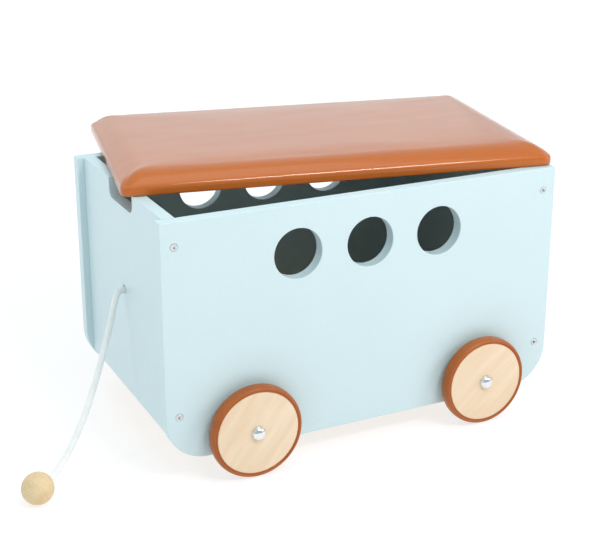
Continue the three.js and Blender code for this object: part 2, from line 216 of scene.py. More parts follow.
def beech(where, axis_turn):
    """Turned beech: growth rings about an axis that leaves the ball low at the front, so that end grain shows there,
    along with a painted shade on the underside.
    """
    s = Shader("ball_wood", Specular_IOR_Level=0.4, Coat_Weight=0.12, Coat_Roughness=0.4)
    local = s.mapped(loc=tuple(-c for c in where))
    grain = s.mapped(rot=axis_turn, vector=local)
    rings = s.node("ShaderNodeTexWave", {"Vector": s.mapped(loc=(0.034, 0.012, 0), vector=grain), "Scale": 95.0, "Distortion": 3.4,
                                         "Detail": 2.0, "Detail Scale": 2.0}, wave_type="RINGS", rings_direction="Z").outputs[0]
    rays = s.noise(1.0, 2, 0.5, 0.1, s.mapped(scale=(1500, 1500, 210), vector=grain))
    broad = s.noise(1.0, 3, 0.5, 0.4, s.mapped(scale=(55, 55, 12), vector=grain))
    colour = s.ramp(broad, [(0.25, lin(216, 186, 140)), (0.6, lin(228, 202, 160)), (0.85, lin(236, 214, 178))])
    colour = s.mix(s.grey(rings, [(0.0, 0.15), (0.55, 0.0)]), colour, lin(212, 168, 112))
    # The pole where the grain leaves the ball, low down, is darker: partly end grain taking more finish, partly painted
    # shade on the underside.
    z = s.node("ShaderNodeSeparateXYZ", {0: grain}).outputs[2]
    end = s.grey(s.math("ADD", s.math("MULTIPLY", z, 1 / 0.0214), 0.0), [(0.25, 0.0), (0.9, 0.7)])
    colour = s.mix(end, colour, lin(196, 148, 92))
    colour = s.mix(s.grey(rays, [(0.58, 0.0), (0.70, 0.55)]), colour, lin(178, 128, 78))
    normal = s.bump(rays, 0.16, 0.0004)
    return s.out(Base_Color=colour, Roughness=s.grey(rays, [(0.3, 0.46), (0.8, 0.60)]), Normal=normal)


def tan_rubber():
    s = Shader("tyre_rubber", Specular_IOR_Level=0.25, Coat_Weight=0.2, Coat_Roughness=0.25)
    cloud = s.noise(26, 4, 0.6)
    colour = s.ramp(cloud, [(0.3, lin(160, 84, 30)), (0.7, lin(173, 94, 38))])
    dust = s.noise(700, 3, 0.6)
    colour = s.mix(s.grey(dust, [(0.6, 0.0), (0.8, 0.16)]), colour, lin(196, 128, 84))
    normal = s.bump(s.noise(1400, 3, 0.6), 0.16, 0.0003)
    normal = s.bump(s.noise(110, 2, 0.5), 0.05, 0.001, normal)
    return s.out(Base_Color=colour, Roughness=s.grey(s.noise(70, 4, 0.6), [(0.25, 0.34), (0.8, 0.50)]), Normal=normal)


def metal(name, colour, dark, rough, brushed=None, scratch=0.05):
    s = Shader(name, Metallic=1.0)
    cloud = s.noise(180, 4, 0.6)
    base = s.ramp(cloud, [(0.25, dark), (0.75, colour)])
    lines = s.noise(1.0, 3, 0.6, vector=s.mapped(scale=brushed or (900, 900, 900)))
    normal = s.bump(lines, scratch, 0.0002)
    return s.out(Base_Color=base, Roughness=s.grey(s.noise(420, 4, 0.7), [(0.2, rough[0]), (0.8, rough[1])]), Normal=normal)


def nylon():
    s = Shader("spacer_nylon", Specular_IOR_Level=0.5, Subsurface_Weight=0.05)
    colour = s.ramp(s.noise(90, 3, 0.5), [(0.3, lin(226, 222, 212)), (0.7, lin(236, 233, 225))])
    normal = s.bump(s.noise(900, 2, 0.5), 0.08, 0.0003)
    return s.out(Base_Color=colour, Roughness=s.grey(s.noise(300, 3, 0.5), [(0.3, 0.42), (0.7, 0.55)]), Normal=normal)


def leatherette():
    s = Shader("lid_leather", Specular_IOR_Level=0.12, Coat_Weight=0.9, Coat_Roughness=0.11, Coat_IOR=1.5)
    cloud = s.noise(7, 4, 0.6)
    colour = s.ramp(cloud, [(0.28, lin(182, 92, 16)), (0.72, lin(190, 99, 21))])
    valleys = s.voronoi(620, "DISTANCE_TO_EDGE")
    # Painted shade: the grain's valleys, which the bump sinks, are darkened as shade would darken them.
    painted_valley_shade = s.grey(valleys, [(0.0, 0.45), (0.10, 0.0)])
    colour = s.mix(painted_valley_shade, colour, lin(160, 78, 14))
    colour = s.mix(s.grey(s.noise(260, 3, 0.6), [(0.55, 0.0), (0.8, 0.12)]), colour, lin(206, 120, 44))
    streak = s.noise(1.0, 4, 0.6, 0.3, s.mapped(scale=(4, 40, 40), rot=(0, 0, 11.2)))
    rough = s.grey(streak, [(0.25, 0.40), (0.8, 0.47)])
    normal = s.bump(s.grey(valleys, [(0.0, 0.0), (0.16, 1.0)]), 0.10, 0.00030)
    normal = s.bump(s.voronoi(620, "F1"), 0.04, 0.0004, normal)
    normal = s.bump(s.noise(45, 3, 0.5), 0.05, 0.0012, normal)
    coat = s.bump(s.grey(valleys, [(0.0, 0.0), (0.16, 1.0)]), 0.05, 0.00025)
    coat = s.bump(streak, 0.03, 0.0010, coat)
    return s.out(Base_Color=colour, Roughness=rough, Normal=normal, Coat_Normal=coat)


def foam():
    s = Shader("lid_foam", Specular_IOR_Level=0.2)
    cells = s.voronoi(1400)
    # Painted shade: each cell is darker at its pit, which the bump sinks.
    colour = s.ramp(cells, [(0.0, lin(206, 196, 160)), (0.6, lin(236, 226, 194))])
    return s.out(Base_Color=colour, Roughness=s.grey(cells, [(0.0, 0.95), (1.0, 0.85)]), Normal=s.bump(cells, 0.4, 0.0006))


def nonwoven():
    s = Shader("lid_lining", Specular_IOR_Level=0.25, Sheen_Weight=0.15)
    fibres = s.noise(1.0, 4, 0.7, 1.5, s.mapped(scale=(900, 1300, 900)))
    dots = s.voronoi(420, "F1", rand=0.12)
    colour = s.ramp(fibres, [(0.3, lin(34, 34, 36)), (0.7, lin(58, 58, 61))])
    colour = s.mix(s.grey(dots, [(0.18, 0.6), (0.3, 0.0)]), colour, lin(22, 22, 24))
    normal = s.bump(fibres, 0.4, 0.0004)
    normal = s.bump(dots, 0.25, 0.0004, normal)
    return s.out(Base_Color=colour, Roughness=s.grey(fibres, [(0.3, 0.95), (0.7, 0.8)]), Normal=normal)


def cotton():
    s = Shader("cord_cotton", Specular_IOR_Level=0.3, Sheen_Weight=0.5, Sheen_Roughness=0.5)
    thread = s.noise(1.0, 3, 0.6, 0.4, s.mapped(scale=(2600, 2600, 900)))
    colour = s.ramp(thread, [(0.25, lin(230, 230, 228)), (0.6, lin(247, 246, 244)), (0.85, lin(252, 252, 251))])
    normal = s.bump(thread, 0.45, 0.0003)
    normal = s.bump(s.noise(900, 3, 0.6), 0.2, 0.0004, normal)
    return s.out(Base_Color=colour, Roughness=s.grey(thread, [(0.2, 0.9), (0.8, 0.76)]), Normal=normal)


WHEEL_X, WHEEL_Z = 180.0, 66 * math.cos(math.pi / 36)
BALL_AT, BALL_R = np.array([-464.0, -142.0, 21.5]), 21.4
SIDES, ENDS = {"front": -1, "rear": 1}, {"left": -1, "right": 1}

MAT = {
    "painted_board": painted_board(),
    "bare_board": plywood(),
    "screw_steel": metal("screw_steel", lin(226, 227, 228), lin(196, 198, 201), (0.20, 0.34)),
    "axle_steel": metal("axle_steel", lin(196, 198, 200), lin(166, 168, 172), (0.26, 0.42), (2600, 40, 2600), 0.12),
    "spacer_nylon": nylon(),
    "chrome_cap": metal("chrome_cap", lin(236, 237, 238), lin(222, 224, 226), (0.05, 0.11), None, 0.02),
    "cord_cotton": cotton(),
    "ball_wood": beech(row([BALL_AT])[0], (118, 24, 0)),
    "tyre_rubber": tan_rubber(),
    "lid_leather": leatherette(),
    "lid_foam": foam(),
    "lid_lining": nonwoven(),
}
WHEEL_WOOD = {}
for k, (side, end, turn) in enumerate((("front", "left", 52), ("front", "right", 38), ("rear", "left", -28), ("rear", "right", 71))):
    at = row([(ENDS[end] * WHEEL_X, SIDES[side] * 197, WHEEL_Z)])[0]
    WHEEL_WOOD[f"{side}_{end}"] = birch(f"wheel_wood_{side}_{end}", turn, at, 3 + 7 * k)
MAT["wheel_wood"] = WHEEL_WOOD["front_left"]


# ---- mesh helpers --------------------------------------------------------------


def piece(name, verts, faces, body, slot, stands_for=(), material=None, angle=38, smooth=True):
    """A mesh from points in millimetres about the middle of the box."""
    me = bpy.data.meshes.new(name)
    me.from_pydata(row(verts).tolist(), [], [tuple(int(i) for i in f) for f in faces])
    bm = bmesh.new()
    bm.from_mesh(me)
    bmesh.ops.remove_doubles(bm, verts=bm.verts, dist=1e-7)
    bmesh.ops.recalc_face_normals(bm, faces=bm.faces)
    bm.to_mesh(me)
    bm.free()
    if smooth:
        me.polygons.foreach_set("use_smooth", [True] * len(me.polygons))
        me.set_sharp_from_angle(angle=math.radians(angle))
    me.materials.append(material or MAT[slot])
    o = bpy.data.objects.new(name, me)
    scene.collection.objects.link(o)
    if body:
        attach(o, body)
    if stands_for:
        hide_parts(*stands_for)
    return o


def weigh(o):
    w = o.modifiers.new("weighted normals", "WEIGHTED_NORMAL")
    w.weight = 100
    w.keep_sharp = True
    w.mode = "FACE_AREA"
    return o


def lathe(profile, n, turn=0.0):
    """Points (radius, y) turned about the Y axis. A radius of 0 makes a pole, and a profile that ends where it starts makes a ring."""
    closed = profile[0] == profile[-1]
    pts = profile[:-1] if closed else profile
    verts, rings, faces = [], [], []
    for r, y in pts:
        if r < 1e-9:
            rings.append([len(verts)])
            verts.append((0, y, 0))
        else:
            rings.append(list(range(len(verts), len(verts) + n)))
            for i in range(n):
                a = 2 * math.pi * i / n + turn
                verts.append((r * math.cos(a), y, r * math.sin(a)))
    pairs = list(zip(rings, rings[1:])) + ([(rings[-1], rings[0])] if closed else [])
    for a, b in pairs:
        for i in range(n):
            j = (i + 1) % n
            if len(a) == 1 and len(b) == 1:
                continue
            if len(a) == 1:
                faces.append((a[0], b[j], b[i]))
            elif len(b) == 1:
                faces.append((a[i], a[j], b[0]))
            else:
                faces.append((a[i], a[j], b[j], b[i]))
    return np.array(verts, float), faces


def arc(cx, cy, r, a0, a1, n):
    """n + 1 points on a circle, the angles in degrees."""
    return [(cx + r * math.cos(math.radians(a0 + (a1 - a0) * k / n)), cy + r * math.sin(math.radians(a0 + (a1 - a0) * k / n))) for k in range(n + 1)]


def hole(cx, cy, r, n):
    """A loop that runs clockwise, as a hole does."""
    return arc(cx, cy, r, 0, -360, n)[:-1]


def eased_board(loops, thick, ease, steps=3, hole_ease=None):
    """(u, v, w) points and faces of a board of that thickness, with every arris rounded. The first loop runs anticlockwise, and holes clockwise."""
    verts, faces, caps = [], [], []
    layers = []
    for k in range(steps + 1):
        a = math.pi / 2 * k / steps
        layers.append((1 - math.sin(a), 1 - math.cos(a)))
    low_cap, high_cap = [], []
    low_index, high_index = [], []
    for li, loop in enumerate(loops):
        p = np.array(loop, float)
        d = np.roll(p, -1, 0) - p
        d /= np.linalg.norm(d, axis=1)[:, None]
        n2 = np.stack([-d[:, 1], d[:, 0]], 1)
        n1 = np.roll(n2, 1, 0)
        m = (n1 + n2) / (1 + (n1 * n2).sum(1))[:, None]
        e = ease if li == 0 or hole_ease is None else hole_ease
        rows = [(e * i, e * h) for i, h in layers] + [(e * i, thick - e * h) for i, h in layers[::-1]]
        start = len(verts)
        count = len(p)
        for inset, w in rows:
            q = p + m * inset
            verts += [(a, b, w) for a, b in q]
        for r in range(len(rows) - 1):
            for i in range(count):
                j = (i + 1) % count
                faces.append((start + r * count + i, start + r * count + j, start + (r + 1) * count + j, start + (r + 1) * count + i))
        last = start + (len(rows) - 1) * count
        low_cap.append([Vector((*verts[start + i][:2], 0)) for i in range(count)])
        high_cap.append([Vector((*verts[last + i][:2], 0)) for i in range(count)])
        low_index += list(range(start, start + count))
        high_index += list(range(last, last + count))
    for cap, index in ((low_cap, low_index), (high_cap, high_index)):
        for tri in tessellate_polygon(cap):
            faces.append(tuple(index[i] for i in tri))
    return np.array(verts, float), faces


def block(x0, x1, y0, y1, z0, z1):
    v = [(x, y, z) for x in (x0, x1) for y in (y0, y1) for z in (z0, z1)]
    return np.array(v, float), [(0, 1, 3, 2), (4, 6, 7, 5), (0, 4, 5, 1), (2, 3, 7, 6), (0, 2, 6, 4), (1, 5, 7, 3)]


def carve(o, verts, faces):
    """Cuts a closed shape out of a piece for good."""
    tool = piece("carving_tool", verts, faces, None, "painted_board", smooth=False)
    m = o.modifiers.new("cut", "BOOLEAN")
    m.operation, m.solver, m.object = "DIFFERENCE", "EXACT", tool
    dg = bpy.context.evaluated_depsgraph_get()
    me = bpy.data.meshes.new_from_object(o.evaluated_get(dg))
    o.modifiers.clear()
    old = o.data
    o.data = me
    me.name = old.name + "_cut"
    me.polygons.foreach_set("use_smooth", [True] * len(me.polygons))
    me.set_sharp_from_angle(angle=math.radians(38))
    bpy.data.objects.remove(tool)
    return o


# ---- pull cord ------------------------------------------------------------------

END_FACE = -290.0
CORD_R, CORD_Z = 4.5, 216.8
ROUTE = [
    (END_FACE + 19, 0, CORD_Z), (END_FACE + 9, 0, CORD_Z), (END_FACE, 0, CORD_Z), (-298.5, -2.6, CORD_Z - 0.6),
    (-305, -9, 211.6), (-309.5, -14.2, 204.5), (-313.6, -18.6, 196.0), (-317.8, -22.8, 185.0), (-324.4, -28.4, 171.0),
    (-331.2, -34.2, 156.0), (-342.5, -43.2, 133.0), (-358.8, -56.6, 103.0), (-376.6, -71.2, 75.0), (-399.6, -90.0, 48.4),
    (-416, -103.2, 34.4), (-428, -112.9, 26.4), (-438, -121.0, 22.2), (-446, -127.5, 21.2), (-451.5, -131.9, 21.3),
]


def smooth_route(points, step, closed=False):
    """Centripetal Catmull-Rom through the points, then respaced evenly."""
    p = np.array(points, float)
    p = np.vstack([2 * p[0] - p[1], p, 2 * p[-1] - p[-2]])
    out = []
    for i in range(1, len(p) - 2):
        p0, p1, p2, p3 = p[i - 1 : i + 3]
        d0, d1, d2 = (max(np.linalg.norm(b - a) ** 0.5, 1e-6) for a, b in ((p0, p1), (p1, p2), (p2, p3)))
        m1 = ((p1 - p0) / d0 - (p2 - p0) / (d0 + d1) + (p2 - p1) / d1) * d1
        m2 = ((p2 - p1) / d1 - (p3 - p1) / (d1 + d2) + (p3 - p2) / d2) * d1
        for t in np.linspace(0, 1, 24, endpoint=False):
            h = (2 * t**3 - 3 * t**2 + 1, t**3 - 2 * t**2 + t, -2 * t**3 + 3 * t**2, t**3 - t**2)
            out.append(h[0] * p1 + h[1] * m1 + h[2] * p2 + h[3] * m2)
    out.append(p[-2])
    out = np.array(out)
    s = np.concatenate([[0], np.cumsum(np.linalg.norm(np.diff(out, axis=0), axis=1))])
    at = np.linspace(0, s[-1], max(2, int(round(s[-1] / step)) + 1))
    return np.stack([np.interp(at, s, out[:, k]) for k in range(3)], 1), at


def braid(theta, along, carriers=8, pitch=4.4):
    """Height from 0 to 1 of a flat braid of so many strands each way."""
    u = theta / (2 * math.pi) * carriers
    s = along / pitch
    a, b = u + s, u - s
    fa, fb = a - math.floor(a), b - math.floor(b)
    sa, sb = math.sin(math.pi * fa), math.sin(math.pi * fb)
    if (math.floor(a) + math.floor(b)) % 2 == 0:
        return max(0.0, sa) ** 0.55 * (0.45 + 0.55 * sb)
    return max(0.0, sb) ** 0.55 * (0.45 + 0.55 * sa)


def braided_tube(line, at, radius, amp, around, squash=None):
    t = np.gradient(line, axis=0)
    t /= np.linalg.norm(t, axis=1)[:, None]
    normal = np.cross(t[0], (0, 0, 1.0))
    if np.linalg.norm(normal) < 0.1:
        normal = np.cross(t[0], (0, 1.0, 0))
    normal /= np.linalg.norm(normal)
    verts, faces = [], []
    for i, (p, tangent) in enumerate(zip(line, t)):
        normal = normal - tangent * normal.dot(tangent)
        normal /= np.linalg.norm(normal)
        side = np.cross(tangent, normal)
        for k in range(around):
            a = 2 * math.pi * k / around
            fuzz = 0.05 * noise.noise(Vector((p[0] * 0.9 + 9 * math.cos(a), p[1] * 0.9 + 9 * math.sin(a), p[2] * 0.9)))
            r = radius - amp + amp * braid(a, at[i]) + fuzz
            verts.append(p + r * (math.cos(a) * normal + math.sin(a) * side))
    n = len(line)
    for i in range(n - 1):
        for k in range(around):
            j = (k + 1) % around
            faces.append((i * around + k, i * around + j, (i + 1) * around + j, (i + 1) * around + k))
    for i, inward in ((0, -1), (n - 1, 1)):
        centre = len(verts)
        verts.append(line[i] + t[i] * inward * 0.6)
        for k in range(around):
            faces.append((i * around + k, i * around + (k + 1) % around, centre))
    return np.array(verts), faces


cord_line, cord_at = smooth_route(ROUTE, 0.75)
v, f = braided_tube(cord_line, cord_at, CORD_R + 0.14, 0.85, 48)
cord = piece("pull_cord_braid", v, f, "box", "cord_cotton", ("pull_cord",), angle=80)
outside = cord_line[cord_line[:, 0] < END_FACE]

# The knot inside the box: two turns and a tuck, pulled up against the end panel, with a short cut tail.
KNOT_AT = np.array([-263.2, 0.0, CORD_Z])
knot = [(-275, 0, CORD_Z), (-271.5, 0, CORD_Z), (-268.5, 0.8, CORD_Z + 1.2)]
for k in range(34):
    phi = math.radians(28 + 336 * k / 33)
    ring = 6.0 + 3.3 * math.cos(3 * phi)
    knot.append(KNOT_AT + np.array([3.7 * math.sin(3 * phi), ring * math.cos(2 * phi), ring * math.sin(2 * phi)]))
end = knot[-1]
for d in ((2.4, -1.8, -4.4), (4.4, -2.4, -9.4), (5.6, -2.6, -15.0)):
    knot.append(end + np.array(d))
knot_line, knot_at = smooth_route(knot, 0.8)
v, f = braided_tube(knot_line, knot_at, 3.95, 0.5, 32)
knot_piece = piece("cord_overhand_knot", v, f, "box", "cord_cotton", ("cord_knot",), angle=80)

# The ball: bored from the cord's side, with a small rounded lip at the hole.
into = np.array([BALL_AT[0] - ROUTE[-1][0], BALL_AT[1] - ROUTE[-1][1], 0.0])
into /= np.linalg.norm(into)
BORE = 5.0
lip = math.asin((BORE + 0.9) / BALL_R)
profile = [(0.0, -2.0), (BORE * 0.55, -2.0), (BORE, -3.2), (BORE, -BALL_R * math.cos(lip) + 1.2)]
profile += [(BORE + 0.12, -BALL_R * math.cos(lip) + 0.55), (BORE + 0.42, -BALL_R * math.cos(lip) + 0.16)]
for k in range(65):
    a = lip + (math.pi - lip) * k / 64
    profile.append((BALL_R * math.sin(a) if k < 64 else 0.0, -BALL_R * math.cos(a)))
v, f = lathe(profile, 96)
y = into
x = np.cross(y, (0, 0, 1.0))
x /= np.linalg.norm(x)
z = np.cross(x, y)
v = v[:, :1] * x + v[:, 1:2] * y + v[:, 2:] * z + BALL_AT
ball = piece("turned_ball", v, f, "box", "ball_wood", ("pull_ball",), angle=50)

row([(END_FACE, 0, CORD_Z)])[0]
row(cord_line[::4]).tolist() + row(cord_line[-1:]).tolist()


# ---- long panels ------------------------------------------------------------------

RIM, BOTTOM, THICK = 367.0, 34.0, 18.0
SCREW_X, SCREW_Z = 281.0, (99.0, 334.0)
PORTHOLES = (-108.0, 0.0, 108.0)


def screw_bores(end):
    """The screws' way into the ends of an end panel."""
    parts = []
    for side in (-1, 1):
        for z in SCREW_Z:
            v, f = lathe([(0, 0), (3.6, 0), (3.6, 34), (0, 34)], 20)
            v[:, 1] = side * (163 - v[:, 1])
            parts.append((v + (end * SCREW_X, 0, z), f))
    return parts


for side_name, side in SIDES.items():
    outline = arc(240, BOTTOM + 60, 60, -90, 0, 30) + arc(298.6, RIM - 1.4, 1.4, 0, 90, 3)
    outline += arc(-298.6, RIM - 1.4, 1.4, 90, 180, 3) + arc(-240, BOTTOM + 60, 60, 180, 270, 30)
    loops = [outline] + [hole(x, 299, 35, 112) for x in PORTHOLES]
    loops += [hole(s * SCREW_X, z, 5.15, 28) for s in (-1, 1) for z in SCREW_Z] + [hole(s * WHEEL_X, WHEEL_Z, 4.1, 24) for s in (-1, 1)]
    v, f = eased_board(loops, THICK, 1.0, 4, None)
    # Every hole is eased as much as the outline.
    y = np.where(side < 0, -180 + v[:, 2], 180 - v[:, 2])
    o = piece(f"panel_{side_name}", np.stack([v[:, 0], y, v[:, 1]], 1), f, "box", "painted_board", (f"long_panel_{side_name}",))
    inner = side * 162.0
    ys = sorted((inner - side, inner + side * 7))
    carve(o, *block(-279, 279, *ys, 75.75, 85.25))
    weigh(o)

# ---- end panels -------------------------------------------------------------------

for end_name, end in ENDS.items():
    outline = [(-162, 63), (162, 63)] + [(162, RIM)]
    outline += arc(48 + 2, RIM - 2, 2, 90, 180, 4) + [(48, 340 + 12)] + arc(48 - 12, 340 + 12, 12, 0, -90, 12)[1:]
    outline += arc(-48 + 12, 340 + 12, 12, -90, -180, 12) + arc(-48 - 2, RIM - 2, 2, 0, 90, 4) + [(-162, RIM)]
    loops = [outline] + ([hole(0, 218, 6, 48)] if end < 0 else [])
    v, f = eased_board(loops, THICK, 1.0, 4)
    x = np.where(end < 0, -290 + v[:, 2], 290 - v[:, 2])
    o = piece(f"end_board_{end_name}", np.stack([x, v[:, 0], v[:, 1]], 1), f, "box", "painted_board", (f"end_panel_{end_name}",))
    inner = end * 272.0
    xs = sorted((inner - end, inner + end * 7))
    carve(o, *block(*xs, -163, 163, 75.75, 85.25))
    for part in screw_bores(end):
        carve(o, *part)
    weigh(o)

# ---- screws -----------------------------------------------------------------------


def socket_screw(side, x, z, turn):
    """A flat socket head: the outer form is turned, and the six-sided socket goes down 3 mm from its face."""
    n = 36
    hexagon = []
    for k in range(n):
        a = 2 * math.pi * k / n
        b = (a - turn) % (math.pi / 3) - math.pi / 6
        hexagon.append(2.3 * math.cos(math.pi / 6) / math.cos(b) * 1.04)
    rings = [("r", 0.0, 50.0), ("r", 0.7, 49.8), ("r", 2.6, 46.0), ("r", 2.6, 16.0), ("r", 3.4, 15.2), ("r", 3.5, 14.5), ("r", 3.5, 3.6),
             ("r", 4.95, 1.7), ("r", 5.0, 1.2), ("r", 5.0, 0.35), ("r", 4.86, 0.10), ("r", 4.6, 0.0), ("h", 1.10, 0.0), ("h", 1.0, 0.14),
             ("h", 0.97, 3.0), ("h", 0.0, 3.6)]
    verts, idx, faces = [], [], []
    for kind, r, y in rings:
        if r == 0.0:
            idx.append([len(verts)])
            verts.append((0, y, 0))
            continue
        idx.append(list(range(len(verts), len(verts) + n)))
        for k in range(n):
            a = 2 * math.pi * k / n
            q = r if kind == "r" else r * hexagon[k]
            verts.append((q * math.cos(a), y, q * math.sin(a)))
    for a, b in zip(idx, idx[1:]):
        for k in range(n):
            j = (k + 1) % n
            if len(a) == 1:
                faces.append((a[0], b[j], b[k]))
            elif len(b) == 1:
                faces.append((a[k], a[j], b[0]))
            else:
                faces.append((a[k], a[j], b[j], b[k]))
    v = np.array(verts, float)
    v[:, 1] = side * (180 - v[:, 1])
    return v + (x, 0, z), faces


for k, (side_name, side) in enumerate(SIDES.items()):
    for end_name, end in ENDS.items():
        for h, z in (("lower", SCREW_Z[0]), ("upper", SCREW_Z[1])):
            turn = 0.37 * (k * 4 + (end > 0) * 2 + (h == "upper"))
            v, f = socket_screw(side, end * SCREW_X, z, turn)
            piece(f"socket_screw_{side_name}_{end_name}_{h}", v, f, "box", "screw_steel", (f"panel_screw_{side_name}_{end_name}_{h}",), angle=40)

# ---- wheels, tyres, spacers, caps, axles ----------------------------------------------

TYRE_R = WHEEL_Z - 0.02


def superellipse_tyre():
    """The section of the tyre, (radius, y) with y from the back of the disc: flat lips, a fine groove, and a domed tread."""
    pts = [(58.55, 0.55), (58.75, 0.4), (59.7, 0.4), (60.1, 0.5), (60.35, 0.85), (60.6, 0.42)]
    front = [(60.6, 17.58), (60.35, 17.15), (60.1, 17.5), (59.7, 17.6), (58.75, 17.6), (58.55, 17.45)]
    n = 2.5
    for k in range(1, 32):
        a = math.pi * k / 32
        c, s = math.cos(a), math.sin(a)
        y = 9 - 9.4 * math.copysign(abs(c) ** (2 / n), c)
        r = 60.9 + (TYRE_R - 60.9) * s ** (2 / n)
        pts.append((r, y))
    pts += front
    return pts + [pts[0]]


DISC = [(4.1, 0.3), (4.4, 0.0), (57.2, 0.0), (57.75, 0.12), (58.2, 0.4), (58.45, 0.8), (58.5, 1.2), (58.5, 16.8), (58.45, 17.2), (58.2, 17.6),
        (57.75, 17.88), (57.2, 18.0), (4.4, 18.0), (4.1, 17.7), (4.1, 0.3)]
CAP = [(0.0, 5.9), (3.2, 5.9), (4.1, 5.2), (4.1, 0.6), (4.3, 0.3), (9.3, 0.3), (9.8, 0.42), (10.0, 0.8), (10.0, 1.35), (9.8, 1.7), (9.5, 1.95)]
CAP += [(9.5 * math.cos(math.radians(a)), 1.95 + 6.05 * math.sin(math.radians(a))) for a in range(6, 90, 6)] + [(0.0, 8.0)]
SPACER = [(4.1, 0.3), (4.3, 0.2), (8.6, 0.2), (8.9, 0.32), (9.0, 0.6), (9.0, 7.3), (8.9, 7.58), (8.6, 7.7), (4.3, 7.7), (4.1, 7.6), (4.1, 0.3)]

for side_name, side in SIDES.items():
    for end_name, end in ENDS.items():
        where = f"{side_name}_{end_name}"
        centre = np.array([end * WHEEL_X, 0, WHEEL_Z])

        def stand(v, start):
            v = v.copy()
            v[:, 1] = side * (v[:, 1] + start)
            return v + centre

        v, f = lathe(DISC, 144)
        weigh(piece(f"birch_disc_{where}", stand(v, 188.4), f, f"wheel_{where}", "wheel_wood", (f"wheel_disc_{where}",), WHEEL_WOOD[where], 50))
        v, f = lathe(superellipse_tyre(), 160)
        piece(f"rubber_tyre_{where}", stand(v, 188.4), f, f"wheel_{where}", "tyre_rubber", (f"tyre_{where}",), angle=48)
        v, f = lathe(CAP, 64)
        piece(f"domed_cap_{where}", stand(v, 206.4), f, "box", "chrome_cap", (f"hub_cap_{where}",), angle=50)
        v, f = lathe(SPACER, 64)
        weigh(piece(f"nylon_spacer_{where}", stand(v, 180), f, "box", "spacer_nylon", (f"wheel_spacer_{where}",), angle=50))

for end_name, end in ENDS.items():
    v, f = lathe([(0, -212.3), (3.4, -212.3), (3.85, -212.0), (4.0, -211.4), (4.0, -120), (4.0, 0), (4.0, 120), (4.0, 211.4), (3.85, 212.0), (3.4, 212.3), (0, 212.3)], 48)
    piece(f"axle_rod_{end_name}", v + (end * WHEEL_X, 0, WHEEL_Z), f, "box", "axle_steel", (f"axle_{end_name}",), angle=50)

# ---- lid ------------------------------------------------------------------------------

LID_AT, LID_YAW, LID_Z = (34.0, 70.0), math.radians(-11.2), RIM + 0.3
LID_L, LID_W, LID_R = 618.0, 376.0, 14.0
EDGE, PEAK, SLOPE, HIP = 13.8, 31.0, 24.0, 34.0


def lid_place(v):
    c, s = math.cos(LID_YAW), math.sin(LID_YAW)
    v = np.array(v, float)
    return np.stack([v[:, 0] * c - v[:, 1] * s + LID_AT[0], v[:, 0] * s + v[:, 1] * c + LID_AT[1], v[:, 2] + LID_Z], 1)


def lid_unplace(v):
    c, s = math.cos(-LID_YAW), math.sin(-LID_YAW)
    x, y = v[:, 0] - LID_AT[0], v[:, 1] - LID_AT[1]
    return np.stack([x * c - y * s, x * s + y * c, v[:, 2] - LID_Z], 1)


def crown(du, dv, edge, peak):
    """An even slope up from the edge that turns quickly into the flat top, with rounded hips at the corners."""
    q, s = np.maximum(HIP - du, 0), np.maximum(HIP - dv, 0)
    d = np.maximum(HIP - (q**3.2 + s**3.2) ** (1 / 3.2), 0) / SLOPE
    return edge + (peak - edge) * (d**4 / (1 + d**4)) ** 0.25


def spread_lines(half, inset, radius):
    """Grid lines across half a side, close together at the edge."""
    at = [inset + (radius - inset) * k / 4 for k in range(5)]
    step, d = 3.4, radius
    while d < half - 5.5:
        d += step
        step = min(step * 1.05, 6.5)
        at.append(d)
    at = np.array(at)
    keep = at[at < half - 3]
    left = -half + keep
    return np.concatenate([left, [0.0], -left[::-1]])


INSET = 4.6
us, vs = spread_lines(LID_L / 2, INSET, LID_R), spread_lines(LID_W / 2, INSET, LID_R)
nu, nv = len(us), len(vs)
gx, gy = np.meshgrid(us, vs, indexing="ij")
du, dv = LID_L / 2 - np.abs(gx), LID_W / 2 - np.abs(gy)
# Inside a corner's square the lines bend onto the corner's round.
r_in = LID_R - INSET
a, b = np.clip((LID_R - du) / r_in, 0, 1), np.clip((LID_R - dv) / r_in, 0, 1)
corner = (a > 0) & (b > 0)
px = np.where(corner, np.sign(gx) * (LID_L / 2 - LID_R + r_in * a * np.sqrt(1 - b * b / 2)), gx)
py = np.where(corner, np.sign(gy) * (LID_W / 2 - LID_R + r_in * b * np.sqrt(1 - a * a / 2)), gy)
START = 0.97
pz = crown(np.maximum(du, 0), np.maximum(dv, 0), EDGE + 0.2, EDGE + (PEAK - EDGE) * START)
verts = np.stack([px.ravel(), py.ravel(), pz.ravel()], 1)
index = np.arange(nu * nv).reshape(nu, nv)
faces = [(index[i, j], index[i + 1, j], index[i + 1, j + 1], index[i, j + 1]) for i in range(nu - 1) for j in range(nv - 1)]
rim_loop = list(index[:, 0]) + list(index[-1, 1:]) + list(index[-2::-1, -1]) + list(index[0, -2:0:-1])
edge_points = verts[rim_loop]
core = np.stack([np.clip(edge_points[:, 0], -LID_L / 2 + LID_R, LID_L / 2 - LID_R), np.clip(edge_points[:, 1], -LID_W / 2 + LID_R, LID_W / 2 - LID_R)], 1)
out2 = edge_points[:, :2] - core
out2 /= np.linalg.norm(out2, axis=1)[:, None]
wall = core + out2 * LID_R
along = np.concatenate([[0], np.cumsum(np.linalg.norm(np.diff(wall, axis=0), axis=1))])
